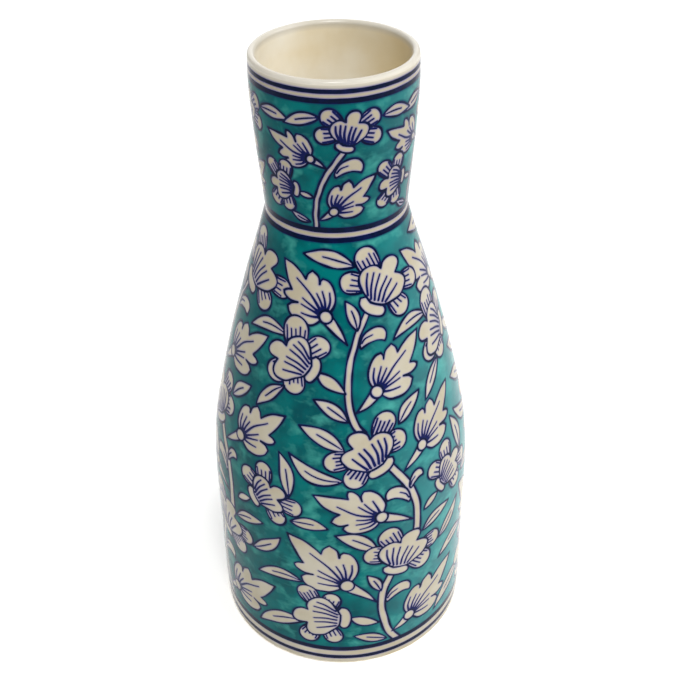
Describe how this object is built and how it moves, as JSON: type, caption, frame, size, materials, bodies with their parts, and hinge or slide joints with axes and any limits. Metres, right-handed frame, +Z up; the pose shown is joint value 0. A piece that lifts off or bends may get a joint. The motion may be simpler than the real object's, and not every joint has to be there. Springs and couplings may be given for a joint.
{
  "type": "pottery vase",
  "caption": "Hand-painted glazed pottery vase with a flared neck, a creased waist, a tall belly and a foot ring.",
  "frame": {"origin": "centre of the foot ring's underside, on the surface that the vase stands on", "axes": "+Z up along the vase's axis of revolution; -Y is the painted front, +X is to the right seen from the front"},
  "size_m": [0.1266, 0.1266, 0.3],
  "materials": {
    "glazed_clay": "glossy clear glaze over a hand-painted teal, cobalt and cream ground"
  },
  "bodies": {
    "root": {"vase_body": "glazed_clay"}
  },
  "joints": []
}
